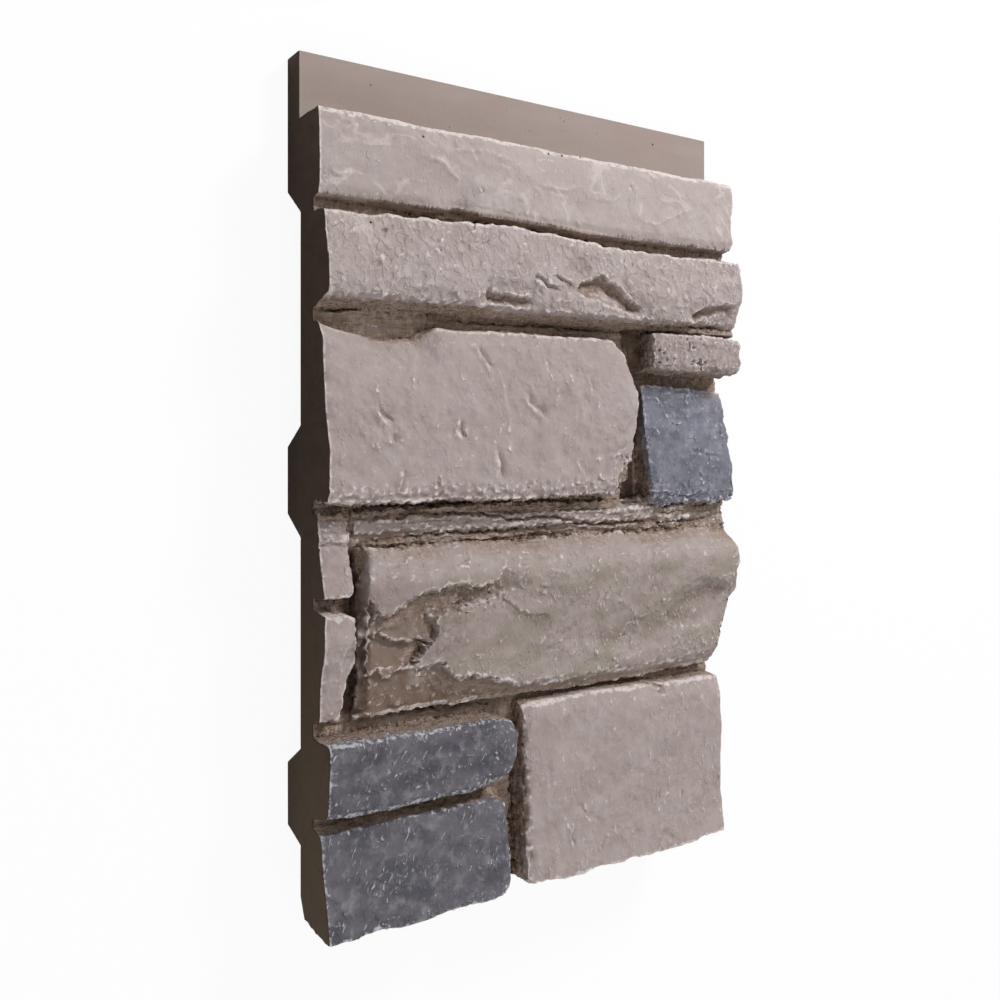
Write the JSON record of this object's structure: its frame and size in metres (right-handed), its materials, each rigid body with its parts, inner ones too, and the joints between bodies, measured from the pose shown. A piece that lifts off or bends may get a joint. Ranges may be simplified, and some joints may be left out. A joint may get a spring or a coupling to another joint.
{
  "type": "faux stone wall panel",
  "caption": "Moulded wall panel with a split ledge stone face, ribbed back and a top lip that laps behind the panel above.",
  "frame": {"origin": "centre of the footprint, on the plane of the rib backs", "axes": "+Z out of the stone face, +Y up the wall towards the top lip, +X along the courses away from the flat cut end"},
  "size_m": [0.254, 0.394, 0.0473],
  "materials": {
    "moulded_foam": "painted stone"
  },
  "bodies": {
    "root": {"stone_panel": "moulded_foam"}
  },
  "joints": []
}
